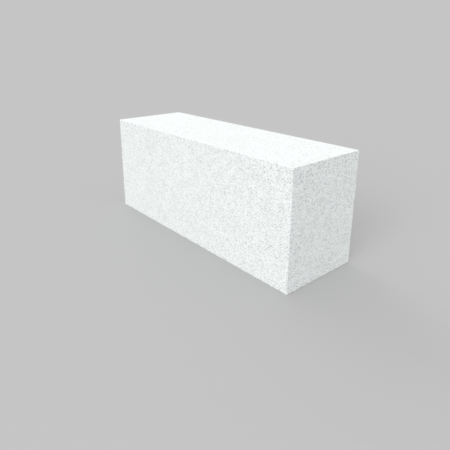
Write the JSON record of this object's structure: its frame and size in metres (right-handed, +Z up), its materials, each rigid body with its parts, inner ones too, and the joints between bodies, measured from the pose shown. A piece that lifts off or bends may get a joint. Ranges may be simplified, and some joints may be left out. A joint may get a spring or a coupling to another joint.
{
  "type": "aerated concrete block",
  "caption": "Solid white aerated concrete block, a plain cuboid with flat, finely porous faces and crisp edges, laid on thin mortar to build walls.",
  "frame": {"origin": "centre of the bed face, the face that the block lies on", "axes": "+X along the block's length, +Y through the wall's thickness, +Z up from the bed face to the top face"},
  "size_m": [0.625, 0.2, 0.25],
  "materials": {
    "aerated_concrete": "matte white, finely porous"
  },
  "bodies": {
    "root": {"block": "aerated_concrete"}
  },
  "joints": []
}
